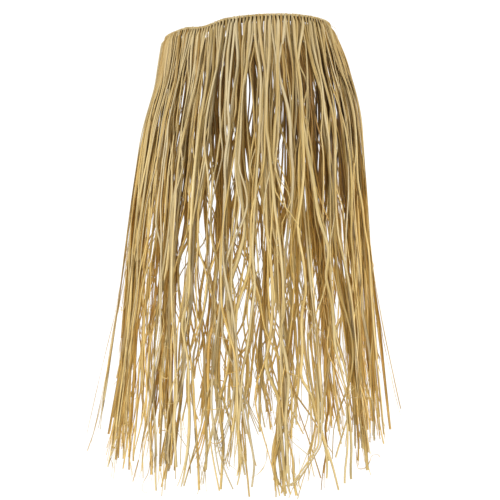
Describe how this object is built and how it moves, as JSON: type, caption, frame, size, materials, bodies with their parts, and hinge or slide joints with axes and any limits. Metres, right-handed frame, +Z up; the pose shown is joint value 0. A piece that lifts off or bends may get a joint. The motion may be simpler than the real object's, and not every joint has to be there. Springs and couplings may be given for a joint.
{
  "type": "grass skirt",
  "caption": "Worn raffia grass skirt: a waist cord closed in a ring, a row of knots under it, and long dry strands that hang and flare to a ragged hem.",
  "frame": {"origin": "centre of the waist opening, level with the waist cord, where the wearer's hips hold the skirt", "axes": "+Z up along the skirt's hang, -Y towards the wearer's front, +X towards the wearer's left"},
  "size_m": [0.5771, 0.5006, 0.8178],
  "materials": {
    "cord": "twisted raffia cord, pale straw",
    "raffia": "dry raffia strands, straw to gold-brown, satin with a lengthwise grain"
  },
  "bodies": {
    "root": {"waist_cord": "cord", "waist_tie": "cord", "fringe_front": "raffia", "fringe_front_left": "raffia", "fringe_left": "raffia", "fringe_back_left": "raffia", "fringe_back": "raffia", "fringe_back_right": "raffia", "fringe_right": "raffia", "fringe_front_right": "raffia"}
  },
  "joints": []
}
